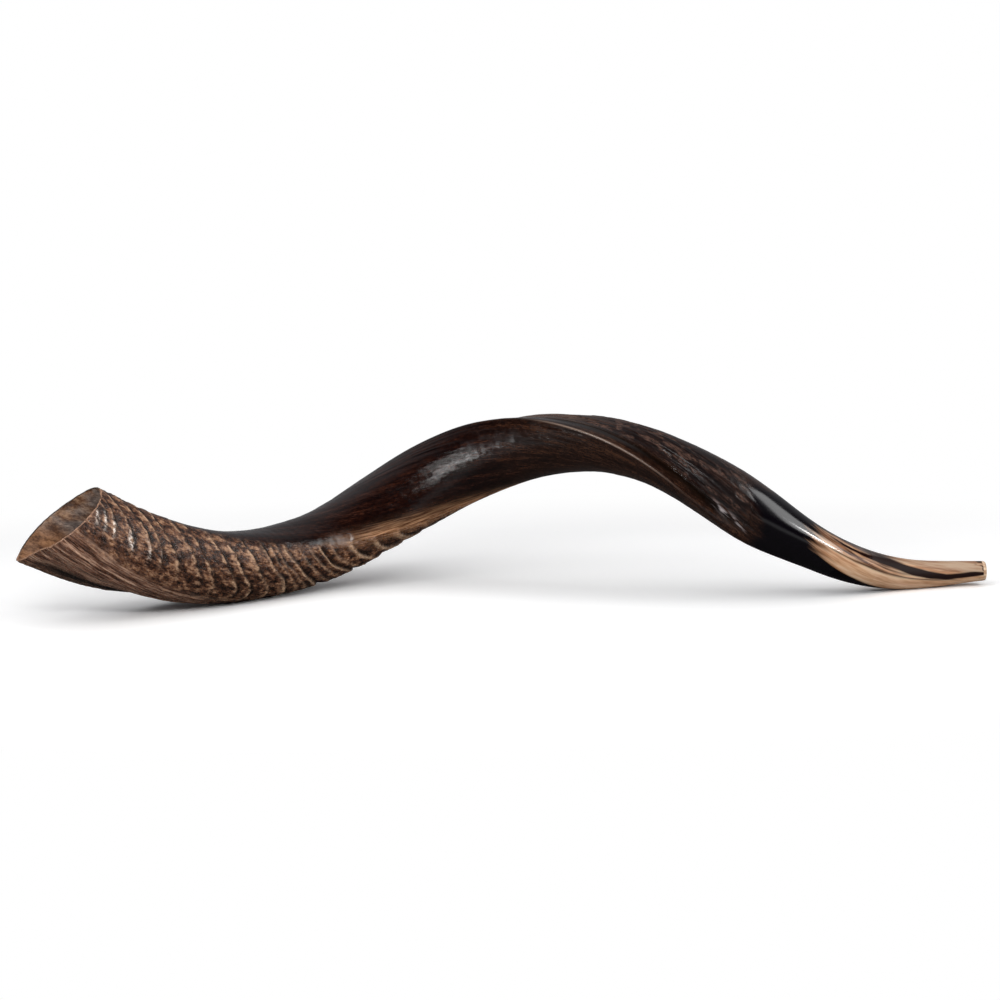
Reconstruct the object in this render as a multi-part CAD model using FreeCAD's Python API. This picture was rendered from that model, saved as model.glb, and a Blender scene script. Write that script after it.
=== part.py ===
"""Shofar: a long ceremonial trumpet made from one greater kudu horn.

The horn is a single grown sheath of keratin that winds along a flattened helix. The bony core is
gone, which leaves a tapering natural cavity. The base is sawn off at a slant to make the bell. The
point is sawn off, drilled through to the cavity and hollowed out into a small oval cup for the lips.
The sheath is kept as five zones that follow the horn maker's work: the raw sawn bell, the raw
ridged base, the scraped and keeled body, the polished black neck and the polished pale tip.

Millimetres, +Z up. +X runs from the bell to the cup, +Y is the far side. The horn lies on its two
troughs on Z = 0, and the origin is at the bottom centre of its box.
"""
import FreeCAD, Part
import math
import os

from FreeCAD import Vector

# Helix that the middle of the horn follows. Its stations run from 0 at the bell to 1 at the cup.
AXIS_START_X = -403.1       # where station 0 is along X
AXIS_LENGTH = 843.0         # along X, from station 0 to station 1
AXIS_Z_BELL = 159.87        # height of the winding axis above the ground
AXIS_Z_TIP = 15.77
AXIS_Y_BELL = 6.9           # sideways place of the winding axis
AXIS_Y_TIP = 8.4
COIL_BELL = 112.5           # radius of the winding at each end
COIL_TIP = 2.5
COIL_BOW = 15.0             # how far the radius swells above a straight change, half way along
TURN_BELL = -236.0          # degrees round the winding axis, 0 at the top, 90 on the near side
TURN_TIP = 200.5
TURN_BOW = -38.0
SAG = 2.6                   # how far the arch hangs below the helix
SAG_START = (0.19, 0.30)    # stations over which the sag sets in, and over which it ends
SAG_END = (0.53, 0.63)

# Cross-section: a round tube with a sharp keel, a groove beside the keel and a blunt back corner.
RADIUS_BELL = 32.8
RADIUS_TIP = 9.2
TAPER_POWER = 2.37
FLARE = 2.5                 # extra radius right at the bell
FLARE_LENGTH = 0.06         # stations over which the flare dies away
SWELL = 4.5                 # extra radius where the keel ends
SWELL_STATION = 0.715
SWELL_WIDTH = 0.055
OVAL = 0.03                 # share of the radius
KEEL_TURN_BELL = 57.0       # degrees from the outside of the winding
KEEL_TURN_CHANGE = 15.0
KEEL_TURN_BOW = 19.0
KEEL_BELL = 0.355           # keel height as a share of the radius
KEEL_TIP = 0.237
KEEL_FADE = (0.727, 0.807)  # stations between which the keel is scraped away
KEEL_ROUND = 0.10           # radians
KEEL_SPREAD = 0.38
GROOVE_DEPTH = 0.35         # share of the keel height
GROOVE_OFFSET = 0.50        # radians behind the keel
GROOVE_SPREAD = 0.27
CORNER_OFFSET = 147.0       # degrees from the keel to the back corner
CORNER_SPREAD = 0.42
CORNER_ALONG = 0.046        # corner height as a share of the radius
CORNER_BELL = 0.095         # what the corner gains at the bell
CORNER_FADE = 0.15          # stations over which that gain dies away

# The slanted saw cut of the bell: which way the opening faces, and its distance from the origin.
RIM_NORMAL = Vector(-0.550, -0.214, 0.807)
RIM_DISTANCE = 313.76

# The inside: natural cavity, drilled bore and carved cup.
CAVITY_BELL = 32.5          # mean radius of the cavity at the bell
CAVITY_END = 0.965          # station where the cavity closes to less than the bore
CAVITY_TIP = 1.5            # its radius there
CAVITY_POWER = 0.92
THINNEST_WALL = 2.2
BORE_RADIUS = 3.5
BORE_START = 0.92           # station where the drill breaks into the cavity
CUP_HEIGHT = 14.5
CUP_WIDTH = 12.5
CUP_DEPTH = 11.0
CUP_BOTTOM = 1.5            # radius where it has narrowed to less than the bore
CUP_CURVE = 0.55            # how full the cup is half way down, from 0 (cone) to 1 (straight sides)
CUP_POINTS = 16

# Ends of the five zones, as stations.
ZONES = {
    "bell_mouth": (-0.06, 0.15),
    "ridged_base": (0.15, 0.385),
    "keeled_body": (0.385, 0.735),
    "polished_neck": (0.735, 0.82),
    "mouthpiece_tip": (0.82, 1.0),
}

SECTIONS = 60               # cross-sections that the outer skin passes through
SECTION_POINTS = 44         # points round each of them
KEEL_CROWDING = 0.45        # 0 spaces the points evenly, more gathers them at the keel
CAVITY_SECTIONS = 60
LOFT_START = -0.06          # the skin begins before the saw cut
FAR = 2000.0                # larger than the horn, for cutting tools


def bowed(first, last, bow, station):
    """A straight change from first to last, plus a bow that is widest half way."""
    return first + (last - first) * station + bow * 4.0 * station * (1.0 - station)


def smooth_step(value, start, end):
    share = min(max((value - start) / (end - start), 0.0), 1.0)
    return share * share * (3.0 - 2.0 * share)


def wrapped(angle):
    return (angle + math.pi) % (2.0 * math.pi) - math.pi


def winding_angle(station):
    return math.radians(bowed(TURN_BELL, TURN_TIP, TURN_BOW, station))


def centre(station):
    """Middle of the horn at a station."""
    angle = winding_angle(station)
    coil = bowed(COIL_BELL, COIL_TIP, COIL_BOW, station)
    x = AXIS_START_X + AXIS_LENGTH * station
    y = bowed(AXIS_Y_BELL, AXIS_Y_TIP, 0.0, station) - coil * math.sin(angle)
    z = bowed(AXIS_Z_BELL, AXIS_Z_TIP, 0.0, station) + coil * math.cos(angle)
    sag = SAG * smooth_step(station, *SAG_START) * (1.0 - smooth_step(station, *SAG_END))
    return Vector(x, y, z - sag)


def frame(station):
    """Centre, direction along the horn, outward direction of the winding, and the third one."""
    step = 1.0e-4
    along = (centre(station + step) - centre(station - step)).normalize()
    angle = winding_angle(station)
    outward = Vector(0.0, -math.sin(angle), math.cos(angle))
    outward = (outward - along * outward.dot(along)).normalize()
    return centre(station), along, outward, along.cross(outward)


def mean_radius(station):
    taper = 1.0 - abs(station) ** TAPER_POWER
    flare = FLARE * math.exp(-station / FLARE_LENGTH)
    swell = SWELL * math.exp(-((station - SWELL_STATION) / SWELL_WIDTH) ** 2)
    return RADIUS_TIP + (RADIUS_BELL - RADIUS_TIP) * taper + flare + swell


def keel_angle(station):
    return math.radians(KEEL_TURN_BELL + bowed(0.0, KEEL_TURN_CHANGE, KEEL_TURN_BOW, station))


def keel_height(station):
    inside = min(max(station, 0.0), 1.0)
    height = KEEL_BELL + (KEEL_TIP - KEEL_BELL) * inside
    return height * (1.0 - smooth_step(inside, *KEEL_FADE))


def outline(station, angle):
    """Distance from the centre to the outer skin."""
    from_keel = wrapped(angle - keel_angle(station))
    from_corner = wrapped(from_keel - math.radians(CORNER_OFFSET))
    rounded = math.sqrt(from_keel ** 2 + KEEL_ROUND ** 2) - KEEL_ROUND
    keel = keel_height(station) * math.exp(-rounded / KEEL_SPREAD)
    groove_share = ((from_keel + GROOVE_OFFSET) / GROOVE_SPREAD) ** 2
    groove = keel_height(station) * GROOVE_DEPTH * math.exp(-groove_share)
    inside = min(max(station, 0.0), 1.0)
    corner = CORNER_ALONG * (1.0 - inside ** 2) + CORNER_BELL * math.exp(-inside / CORNER_FADE)
    corner *= math.exp(-(from_corner / CORNER_SPREAD) ** 2)
    oval = OVAL * math.cos(2.0 * from_keel)
    return mean_radius(station) * (1.0 + oval + keel - groove + corner)


def cavity_outline(station, angle):
    """Distance from the centre to the cavity wall: the outer shape, smaller and never too near."""
    left = 1.0 - min(max(station, 0.0) / CAVITY_END, 1.0) ** 2
    radius = CAVITY_TIP + (CAVITY_BELL - CAVITY_TIP) * left ** CAVITY_POWER
    outer = outline(station, angle)
    roundness = CAVITY_TIP / radius
    shaped = radius * (outer / mean_radius(station)) ** (1.0 - roundness)
    return min(shaped, outer - THINNEST_WALL)


def cavity_centre(station):
    """Middle of the horn, until the cavity meets the drill hole and narrows along that instead."""
    if station <= BORE_START:
        return centre(station)
    share = (station - BORE_START) / (1.0 - BORE_START)
    return centre(BORE_START) * (1.0 - share) + centre(1.0) * share


def section_points(station, middle, distance):
    _, _, outward, side = frame(station)
    points = []
    for index in range(SECTION_POINTS):
        even = 2.0 * math.pi * index / SECTION_POINTS
        angle = keel_angle(station) + even - KEEL_CROWDING * math.sin(even)
        reach = distance(station, angle)
        spoke = outward * (reach * math.cos(angle)) + side * (reach * math.sin(angle))
        points.append(middle(station) + spoke)
    return points


def skin(last, count, middle, distance):
    """Solid whose side is one smooth surface over evenly spaced cross-sections."""
    poles = []
    for index in range(count):
        station = LOFT_START + (last - LOFT_START) * index / (count - 1)
        poles.append(section_points(station, middle, distance))
    lengthwise = list(range(count - 2))
    round_it = list(range(SECTION_POINTS + 1))
    side = Part.BSplineSurface()
    side.buildFromPolesMultsKnots(
        poles,
        [4] + [1] * (len(lengthwise) - 2) + [4], [1] * len(round_it),
        lengthwise, round_it,
        False, True, 3, 3)
    face = side.toShape()
    ends = [Part.Face(Part.Wire(edge)) for edge in face.Edges if edge.isClosed()]
    shell = Part.makeShell([face] + ends)
    shell.sewShape()
    return Part.makeSolid(shell)


def half_space(point, direction):
    """Block that fills everything on the direction side of a plane."""
    block = Part.makeBox(FAR, FAR, FAR, Vector(-FAR / 2.0, -FAR / 2.0, 0.0))
    block.Placement = FreeCAD.Placement(point, FreeCAD.Rotation(Vector(0.0, 0.0, 1.0), direction))
    return block


def cup():
    """Oval cup that narrows to the bore, as a tool to cut away."""
    end, along, outward, side = frame(1.0)
    rings = []
    for share in (0.0, 0.5, 1.0):
        fullness = 1.0 - share + CUP_CURVE * 2.0 * share * (1.0 - share)
        half_height = CUP_BOTTOM + (CUP_HEIGHT / 2.0 - CUP_BOTTOM) * fullness
        half_width = CUP_BOTTOM + (CUP_WIDTH / 2.0 - CUP_BOTTOM) * fullness
        middle = end - along * (CUP_DEPTH * share)
        points = []
        for index in range(CUP_POINTS):
            angle = 2.0 * math.pi * index / CUP_POINTS
            points.append(middle + outward * (half_height * math.cos(angle))
                          + side * (half_width * math.sin(angle)))
        curve = Part.BSplineCurve()
        curve.interpolate(Points=points, PeriodicFlag=True)
        rings.append(Part.Wire(curve.toShape()))
    return Part.makeLoft(rings, True, False)


def bore():
    """Straight drill hole from the cup to the cavity."""
    start, end = centre(BORE_START), centre(1.0)
    direction = end - start
    return Part.makeCylinder(BORE_RADIUS, direction.Length + 1.0, start, direction)


def whole_horn():
    horn = skin(1.0, SECTIONS, centre, outline)
    horn = horn.cut(skin(CAVITY_END, CAVITY_SECTIONS, cavity_centre, cavity_outline))
    horn = horn.cut(bore())
    horn = horn.cut(cup())
    return horn.cut(half_space(RIM_NORMAL * RIM_DISTANCE, RIM_NORMAL))


def zone(horn, first, last):
    """The part of the horn between two stations."""
    piece = horn
    if first > LOFT_START:
        middle, along, _, _ = frame(first)
        piece = piece.cut(half_space(middle, along * -1.0))
    if last < 1.0:
        middle, along, _, _ = frame(last)
        piece = piece.cut(half_space(middle, along))
    return piece


os.makedirs("parts", exist_ok=True)
horn = whole_horn()
for name, (first, last) in ZONES.items():
    piece = zone(horn, first, last)
    piece.exportStep("parts/" + name + ".step")
    print(name, "valid", piece.isValid(), "solids", len(piece.Solids), "volume", round(piece.Volume))
box = horn.BoundBox
print("box X", round(box.XMin, 2), round(box.XMax, 2), "Y", round(box.YMin, 2), round(box.YMax, 2),
      "Z", round(box.ZMin, 2), round(box.ZMax, 2))
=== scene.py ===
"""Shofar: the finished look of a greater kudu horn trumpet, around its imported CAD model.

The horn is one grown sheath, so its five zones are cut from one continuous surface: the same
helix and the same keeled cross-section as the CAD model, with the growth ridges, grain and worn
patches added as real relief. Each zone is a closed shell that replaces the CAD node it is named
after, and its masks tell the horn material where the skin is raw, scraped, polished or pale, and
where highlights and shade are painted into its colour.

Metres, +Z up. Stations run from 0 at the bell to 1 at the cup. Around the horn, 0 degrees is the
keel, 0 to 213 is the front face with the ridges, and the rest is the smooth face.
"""
import math

import bpy
import numpy as np
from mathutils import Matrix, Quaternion, Vector


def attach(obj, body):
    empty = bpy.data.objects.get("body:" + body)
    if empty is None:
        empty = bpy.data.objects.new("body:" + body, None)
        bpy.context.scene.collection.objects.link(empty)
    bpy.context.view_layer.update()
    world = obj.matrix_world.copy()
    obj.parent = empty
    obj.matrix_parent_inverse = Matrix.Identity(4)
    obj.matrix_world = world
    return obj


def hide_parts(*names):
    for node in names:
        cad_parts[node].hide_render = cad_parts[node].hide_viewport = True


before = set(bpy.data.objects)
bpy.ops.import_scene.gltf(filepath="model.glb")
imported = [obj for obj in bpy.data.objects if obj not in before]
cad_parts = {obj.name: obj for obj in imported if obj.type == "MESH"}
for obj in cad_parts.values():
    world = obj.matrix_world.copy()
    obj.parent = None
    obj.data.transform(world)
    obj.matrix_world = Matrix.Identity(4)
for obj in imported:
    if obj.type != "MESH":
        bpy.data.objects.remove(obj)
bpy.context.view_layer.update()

# Helix that the middle of the horn follows, as in the CAD model.
AXIS_START_X = -0.4031
AXIS_LENGTH = 0.8430
AXIS_Z_BELL = 0.15987
AXIS_Z_TIP = 0.01577
AXIS_Y_BELL = 0.0069
AXIS_Y_TIP = 0.0084
COIL_BELL = 0.1125
COIL_TIP = 0.0025
COIL_BOW = 0.0150
TURN_BELL = -236.0          # degrees
TURN_TIP = 200.5
TURN_BOW = -38.0
SAG = 0.0026
SAG_START = (0.19, 0.30)    # stations
SAG_END = (0.53, 0.63)

# Cross-section, as in the CAD model.
RADIUS_BELL = 0.0328
RADIUS_TIP = 0.0092
TAPER_POWER = 2.37
FLARE = 0.0025
FLARE_LENGTH = 0.06
SWELL = 0.0045
SWELL_STATION = 0.715
SWELL_WIDTH = 0.055
OVAL = 0.03
KEEL_TURN_BELL = 57.0       # degrees
KEEL_TURN_CHANGE = 15.0
KEEL_TURN_BOW = 19.0
KEEL_BELL = 0.355
KEEL_TIP = 0.237
KEEL_FADE = (0.727, 0.807)
KEEL_ROUND = 0.10
KEEL_SPREAD = 0.38
GROOVE_DEPTH = 0.35
GROOVE_OFFSET = 0.50
GROOVE_SPREAD = 0.27
CORNER_OFFSET = 147.0       # degrees
CORNER_SPREAD = 0.42
CORNER_ALONG = 0.046
CORNER_BELL = 0.095
CORNER_FADE = 0.15

# Saw cut of the bell, and the inside.
RIM_NORMAL = np.array([-0.550, -0.214, 0.807])
RIM_DISTANCE = 0.31376
CAVITY_BELL = 0.0325
CAVITY_END = 0.965
CAVITY_TIP = 0.0015
CAVITY_POWER = 0.92
THINNEST_WALL = 0.0022
BORE_RADIUS = 0.0035
BORE_START = 0.92
CUP_HEIGHT = 0.0145
CUP_WIDTH = 0.0125
CUP_DEPTH = 0.0110
CUP_BOTTOM = 0.0015
CUP_CURVE = 0.55

# Zones of the horn, each the place of one CAD node: stations, the record's slot, and how far
# apart the rings of its inner wall are.
ZONES = {
    "bell_mouth": (-0.06, 0.15, "raw_horn", 0.002),
    "ridged_base": (0.15, 0.385, "raw_horn", 0.005),
    "keeled_body": (0.385, 0.735, "dark_horn", 0.010),
    "polished_neck": (0.735, 0.82, "black_horn", 0.005),
    "mouthpiece_tip": (0.82, 1.0, "pale_horn", 0.004),
}

# Mesh.
COLUMNS = 240               # points round every ring
KEEL_CROWDING = 0.45        # 0 spaces them evenly, more gathers them at the keel
RING_STEP = 0.001           # stations between rings of the outer skin, close to a millimetre
SLANT_END = 0.060           # station where the rings that follow the saw cut have become upright
EDGE = 0.0007               # rounding of the sawn edges
TIP_EDGE = 0.0034           # length over which the lip side is rounded off
TIP_ROUND = (0.60, 0.20)    # shares of its wall that the outer and the cup-side rounding take
CUP_RINGS = 22
VISIBLE_WALL = 0.0020       # least thickness of the sheath under its deepest creases
RIM_WALL = 0.0013           # thickness at the saw cut, where the edge was scraped thin
RIM_THINNING = 0.020        # length over which the wall thins towards the cut
RIM_SEARCH = (-0.085, 0.11)    # stations between which every column meets the saw cut
RIM_HALVINGS = 30
WALL_START = 1.06           # where the drill hole's rings begin, as a share of the cup's depth
FLOOR_FADE = (0.001, 0.010)    # heights over which relief that stands out fades near the floor

# Places of the materials on every piece.
SKIN_SLOT, CUT_SLOT, WALL_SLOT, CUP_SLOT, LIP_SLOT = range(5)

# Growth ridges: where each crest crosses the back corner, and how far it stands up, in metres.
RIDGES = (
    (-0.052, 0.0010), (-0.036, 0.0012), (-0.024, 0.0012), (-0.013, 0.0012), (-0.005, 0.0011),
    (0.004, 0.0016), (0.022, 0.0018), (0.040, 0.0017), (0.055, 0.0015), (0.070, 0.0018),
    (0.092, 0.0022), (0.108, 0.0018), (0.132, 0.0024), (0.148, 0.0022), (0.169, 0.0027),
    (0.189, 0.0028), (0.199, 0.0010), (0.207, 0.0010), (0.2155, 0.0027), (0.228, 0.0006),
    (0.240, 0.0010), (0.252, 0.0031), (0.268, 0.0008), (0.288, 0.0034), (0.3145, 0.0036),
    (0.345, 0.0022), (0.372, 0.0014), (0.430, 0.0),
)
RIDGE_SLANT = (0.029, 0.043)   # stations that a ridge runs on across the front: early, late ones
CREASE_WIDTH = 0.0035       # stations from a crest down to the crease behind it
BOLD_RIDGE = 0.0022         # height from which a ridge shows its crest and crease in full
FAINTEST = 0.3              # how much of them the lowest ridges show
MIDDLE_RISE = 0.45          # what the slope mask holds where there are no ridges


# ---------- shape of the horn

def bowed(first, last, bow, station):
    """A straight change from first to last, plus a bow that is widest half way."""
    return first + (last - first) * station + bow * 4.0 * station * (1.0 - station)


def smooth(value, start, end):
    share = np.clip((value - start) / (end - start), 0.0, 1.0)
    return share * share * (3.0 - 2.0 * share)


def stretch(value, start, full, fading, end):
    """0 before start, 1 from full to fading, and 0 again after end."""
    return smooth(value, start, full) * (1.0 - smooth(value, fading, end))


def bell_curve(value, middle, spread):
    return np.exp(-((value - middle) / spread) ** 2)


def wrapped(angle, turn=2.0 * math.pi):
    return (angle + turn / 2.0) % turn - turn / 2.0


def unit(vectors):
    return vectors / np.linalg.norm(vectors, axis=-1, keepdims=True)


def centre(station):
    """Middle of the horn at each station."""
    angle = np.radians(bowed(TURN_BELL, TURN_TIP, TURN_BOW, station))
    coil = bowed(COIL_BELL, COIL_TIP, COIL_BOW, station)
    x = AXIS_START_X + AXIS_LENGTH * station
    y = bowed(AXIS_Y_BELL, AXIS_Y_TIP, 0.0, station) - coil * np.sin(angle)
    z = bowed(AXIS_Z_BELL, AXIS_Z_TIP, 0.0, station) + coil * np.cos(angle)
    sag = SAG * smooth(station, *SAG_START) * (1.0 - smooth(station, *SAG_END))
    return np.stack([x, y, z - sag], axis=-1)


def directions(station):
    """Direction along the horn, outward direction of the winding, and the third one."""
    step = 1.0e-4
    along = unit(centre(station + step) - centre(station - step))
    angle = np.radians(bowed(TURN_BELL, TURN_TIP, TURN_BOW, station))
    outward = np.stack([np.zeros_like(angle), -np.sin(angle), np.cos(angle)], axis=-1)
    outward = unit(outward - along * np.sum(outward * along, axis=-1, keepdims=True))
    return along, outward, np.cross(along, outward)


def mean_radius(station):
    taper = 1.0 - np.abs(station) ** TAPER_POWER
    flare = FLARE * np.exp(-station / FLARE_LENGTH)
    swell = SWELL * bell_curve(station, SWELL_STATION, SWELL_WIDTH)
    return RADIUS_TIP + (RADIUS_BELL - RADIUS_TIP) * taper + flare + swell


def keel_angle(station):
    return np.radians(KEEL_TURN_BELL + bowed(0.0, KEEL_TURN_CHANGE, KEEL_TURN_BOW, station))


def outline(station, from_keel):
    """Distance from the centre to the smooth outer skin."""
    inside = np.clip(station, 0.0, 1.0)
    height = KEEL_BELL + (KEEL_TIP - KEEL_BELL) * inside
    height = height * (1.0 - smooth(inside, *KEEL_FADE))
    rounded = np.sqrt(from_keel ** 2 + KEEL_ROUND ** 2) - KEEL_ROUND
    keel = height * np.exp(-rounded / KEEL_SPREAD)
    groove = height * GROOVE_DEPTH * bell_curve(from_keel, -GROOVE_OFFSET, GROOVE_SPREAD)
    corner = CORNER_ALONG * (1.0 - inside ** 2) + CORNER_BELL * np.exp(-inside / CORNER_FADE)
    from_corner = wrapped(from_keel - math.radians(CORNER_OFFSET))
    corner = corner * bell_curve(from_corner, 0.0, CORNER_SPREAD)
    oval = OVAL * np.cos(2.0 * from_keel)
    return mean_radius(station) * (1.0 + oval + keel - groove + corner)


def cavity_outline(station, from_keel):
    """Distance from the middle of the cavity to its wall."""
    left = 1.0 - np.clip(station / CAVITY_END, 0.0, 1.0) ** 2
    radius = CAVITY_TIP + (CAVITY_BELL - CAVITY_TIP) * left ** CAVITY_POWER
    outer = outline(station, from_keel)
    shaped = radius * (outer / mean_radius(station)) ** (1.0 - CAVITY_TIP / radius)
    return np.minimum(shaped, outer - THINNEST_WALL)


def inner_centre(station):
    """Middle of the horn, until the cavity meets the drill hole and follows that instead."""
    share = np.clip((station - BORE_START) / (1.0 - BORE_START), 0.0, 1.0)[..., None]
    chord = centre(BORE_START) * (1.0 - share) + centre(1.0) * share
    return np.where(station[..., None] <= BORE_START, centre(station), chord)


FINE_STATIONS = np.linspace(-0.1, 1.1, 2401)
STEPS = np.linalg.norm(np.diff(centre(FINE_STATIONS), axis=0), axis=-1)
FINE_LENGTHS = np.concatenate([[0.0], np.cumsum(STEPS)])


def unrolled(station, from_keel, reach):
    """Place in a copy of the horn that is pulled straight: the grain runs along its first axis."""
    length = np.interp(station, FINE_STATIONS, FINE_LENGTHS)
    return np.stack([length, reach * np.cos(from_keel), reach * np.sin(from_keel)], axis=-1)


# ---------- noise

def lattice(x, y, z, seed):
    """Random value between -1 and 1 for each corner of a grid."""
    mixed = (x * 73856093) ^ (y * 19349663) ^ (z * 83492791) ^ (seed * 52361)
    mixed = ((mixed ^ (mixed >> 13)) * 1274126177) & 0x7FFFFFFF
    return ((mixed ^ (mixed >> 16)) & 0xFFFF) / 32767.5 - 1.0


def noise(places, along, across, seed):
    """Smooth random value between -1 and 1 that changes over about these lengths."""
    scaled = places / np.array([along, across, across])
    base = np.floor(scaled).astype(np.int64)
    share = scaled - base
    share = share * share * (3.0 - 2.0 * share)
    total = np.zeros(places.shape[:-1])
    for corner in np.ndindex(2, 2, 2):
        weight = np.prod(np.where(np.array(corner) == 1, share, 1.0 - share), axis=-1)
        total += weight * lattice(*np.moveaxis(base + np.array(corner), -1, 0), seed)
    return total


# ---------- growth and wear, and painted highlights and shade

def ridges(station, around, straight):
    """How far the ridges leave the skin below their crests, and masks of crests, creases and slopes."""
    crests = np.array([place for place, height in RIDGES])
    heights = np.array([height for place, height in RIDGES])
    early, late = RIDGE_SLANT
    slant = early + (late - early) * smooth(station, 0.20, 0.29)
    place = station - slant * (1.0 - smooth(around, 118.0, 205.0))
    place = place + 0.0035 * noise(straight, 0.022, 0.016, 3)
    place = place + 0.0010 * noise(straight, 0.006, 0.005, 5)
    index = np.clip(np.searchsorted(crests, place) - 1, 0, len(crests) - 2)
    behind = place - crests[index]
    length = crests[index + 1] - crests[index]
    rise = np.clip((behind - CREASE_WIDTH) / (length - CREASE_WIDTH), 0.0, 1.0)
    drop = smooth(behind, 0.0, CREASE_WIDTH)
    depth = heights[index] * np.where(behind < CREASE_WIDTH, drop, (1.0 - rise) ** 1.5)

    front = stretch(around, 72.0, 112.0, 196.0, 216.0)
    top = stretch(around, 190.0, 212.0, 245.0, 300.0)
    top = 0.6 * top * (1.0 - smooth(station, 0.06, 0.12))
    strength = (front + top) * (1.0 - smooth(place, 0.362, 0.386))
    patchy = 0.72 + 0.45 * noise(straight, 0.015, 0.012, 4)
    high = smooth(around, 100.0, 138.0)
    low = high + (1.0 - high) * smooth(station, 0.12, 0.17)
    strength = np.clip(strength * patchy * low, 0.0, 1.0)
    fullness = np.clip(heights / BOLD_RIDGE, FAINTEST, 1.0)
    crest = smooth(rise, 0.72, 0.97) * (behind >= CREASE_WIDTH) * fullness[index + 1]
    crest = crest + (1.0 - drop) * (behind < CREASE_WIDTH) * fullness[index]
    crease = bell_curve(behind, CREASE_WIDTH, 0.0020) * fullness[index]
    slope = MIDDLE_RISE + (rise - MIDDLE_RISE) * strength
    return depth * strength, crest * strength, crease * strength, slope


def relief(station, around, straight):
    """How far the real skin lies inside the smooth one, in metres."""
    depth = ridges(station, around, straight)[0]
    raw, polish, crest, side, groove, patch = (
        mask(station, around, straight)
        for mask in (raw_mask, polish_mask, crest_mask, keel_side_mask, groove_mask, patch_mask))
    lumps = 0.00045 * noise(straight, 0.030, 0.018, 11)
    rough = 0.00042 * noise(straight, 0.0045, 0.0030, 12)
    rough = rough + 0.00030 * noise(straight, 0.0024, 0.0017, 13)
    streaks = 0.00042 * noise(straight, 0.060, 0.0024, 14)
    streaks = streaks + 0.00028 * noise(straight, 0.035, 0.0013, 15)
    grain = 0.00007 * noise(straight, 0.040, 0.0013, 16)
    scrapes = 0.00010 * noise(straight, 0.0040, 0.0090, 17)
    rough = rough * (1.0 - 0.8 * smooth(station, 0.345, 0.385))
    worn = depth - 0.0008 * raw + raw * rough * (1.0 - 0.7 * side) + side * streaks
    worn = (worn + grain + scrapes + 0.00035 * patch) * (1.0 - polish) * (1.0 - 0.8 * crest)
    hollow = 0.0030 * bell_curve(around, 52.0, 26.0) * bell_curve(station, 0.595, 0.050)
    sharpened = 0.0016 * groove - 0.0007 * crest
    return worn + hollow + sharpened + lumps * (1.0 - 0.6 * polish)


def crest_mask(station, around, straight):
    """1 on the sharp crest of the keel."""
    length = stretch(station, -0.02, 0.02, 0.71, 0.76)
    return bell_curve(wrapped(around, 360.0), 0.0, 3.2) * length


def groove_mask(station, around, straight):
    """1 at the bottom of the narrow groove right beside the crest."""
    length = stretch(station, -0.02, 0.02, 0.70, 0.745)
    return bell_curve(wrapped(around, 360.0), 14.0, 6.5) * length


def raw_mask(station, around, straight):
    """1 where the horn was left as it grew."""
    front = stretch(around, 6.0, 20.0, 200.0, 216.0)
    front = front * (1.0 - 0.40 * smooth(station, 0.32, 0.37)) * (1.0 - smooth(station, 0.46, 0.60))
    bell = 1.0 - smooth(station, 0.055, 0.115)
    return np.maximum(front, bell)


def keel_side_mask(station, around, straight):
    """1 beside the keel, where the horn is streaked lengthwise instead of ridged."""
    side = stretch(around, 4.0, 12.0, 74.0, 104.0)
    other = 0.6 * smooth(around, 300.0, 345.0)
    return np.maximum(side, other) * (1.0 - smooth(station, 0.72, 0.76))


def mottled_mask(station, around, straight):
    """1 on the dull, roughly scraped side before the neck."""
    area = stretch(station, 0.50, 0.58, 0.715, 0.740)
    return area * stretch(around, 16.0, 28.0, 84.0, 118.0)


def patch_mask(station, around, straight):
    """1 on the flakes that the scraper left standing there."""
    flakes = noise(straight, 0.012, 0.0045, 21) + 0.6 * noise(straight, 0.005, 0.002, 22)
    return mottled_mask(station, around, straight) * smooth(flakes, 0.10, 0.45)


def groove_highlight_mask(station, around, straight):
    """1 where a highlight is painted in the groove beside the keel, just before the neck: whitish brushed
    streaks.
    """
    area = stretch(station, 0.692, 0.704, 0.722, 0.738)
    area = bell_curve(around, 17.5, 4.5) * area
    scratches = noise(straight, 0.010, 0.0009, 23) + 0.5 * noise(straight, 0.004, 0.0006, 24)
    return area * smooth(scratches, -0.25, 0.50)


def polish_mask(station, around, straight):
    """1 on the mirror-polished neck and tip."""
    edge = 0.733 - 0.030 * bell_curve(around, 92.0, 28.0)
    ragged = 0.006 * noise(straight, 0.02, 0.002, 25)
    return smooth(station + ragged, edge, edge + 0.018)


def keel_highlight_mask(station, around, straight):
    """1 on the stretch of the keel's crest that carries a painted highlight, a pale beige line, and is
    made glossier.
    """
    length = stretch(station, 0.50, 0.56, 0.60, 0.69)
    return bell_curve(wrapped(around, 360.0), 0.0, 1.3) * length


def glint_mask(station, around, crest):
    """1 where whitish glints are painted on the ridge crests near the bell: painted highlights."""
    strip = bell_curve(around, 128.0, 11.0) * (1.0 - smooth(station, 0.05, 0.09))
    return np.clip(2.4 * crest, 0.0, 1.0) * strip


def gold_mask(station, around, straight):
    """1 on the light band below the back corner."""
    middle = 208.0 + 5.0 * noise(straight, 0.05, 0.03, 31)
    band = bell_curve(around, middle, 12.0) * smooth(station, 0.25, 0.33)
    band = band * (1.0 - smooth(station, 0.48, 0.60))
    streaky = 0.7 + 0.5 * noise(straight, 0.030, 0.0015, 32)
    return np.clip(band * streaky, 0.0, 1.0)


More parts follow.
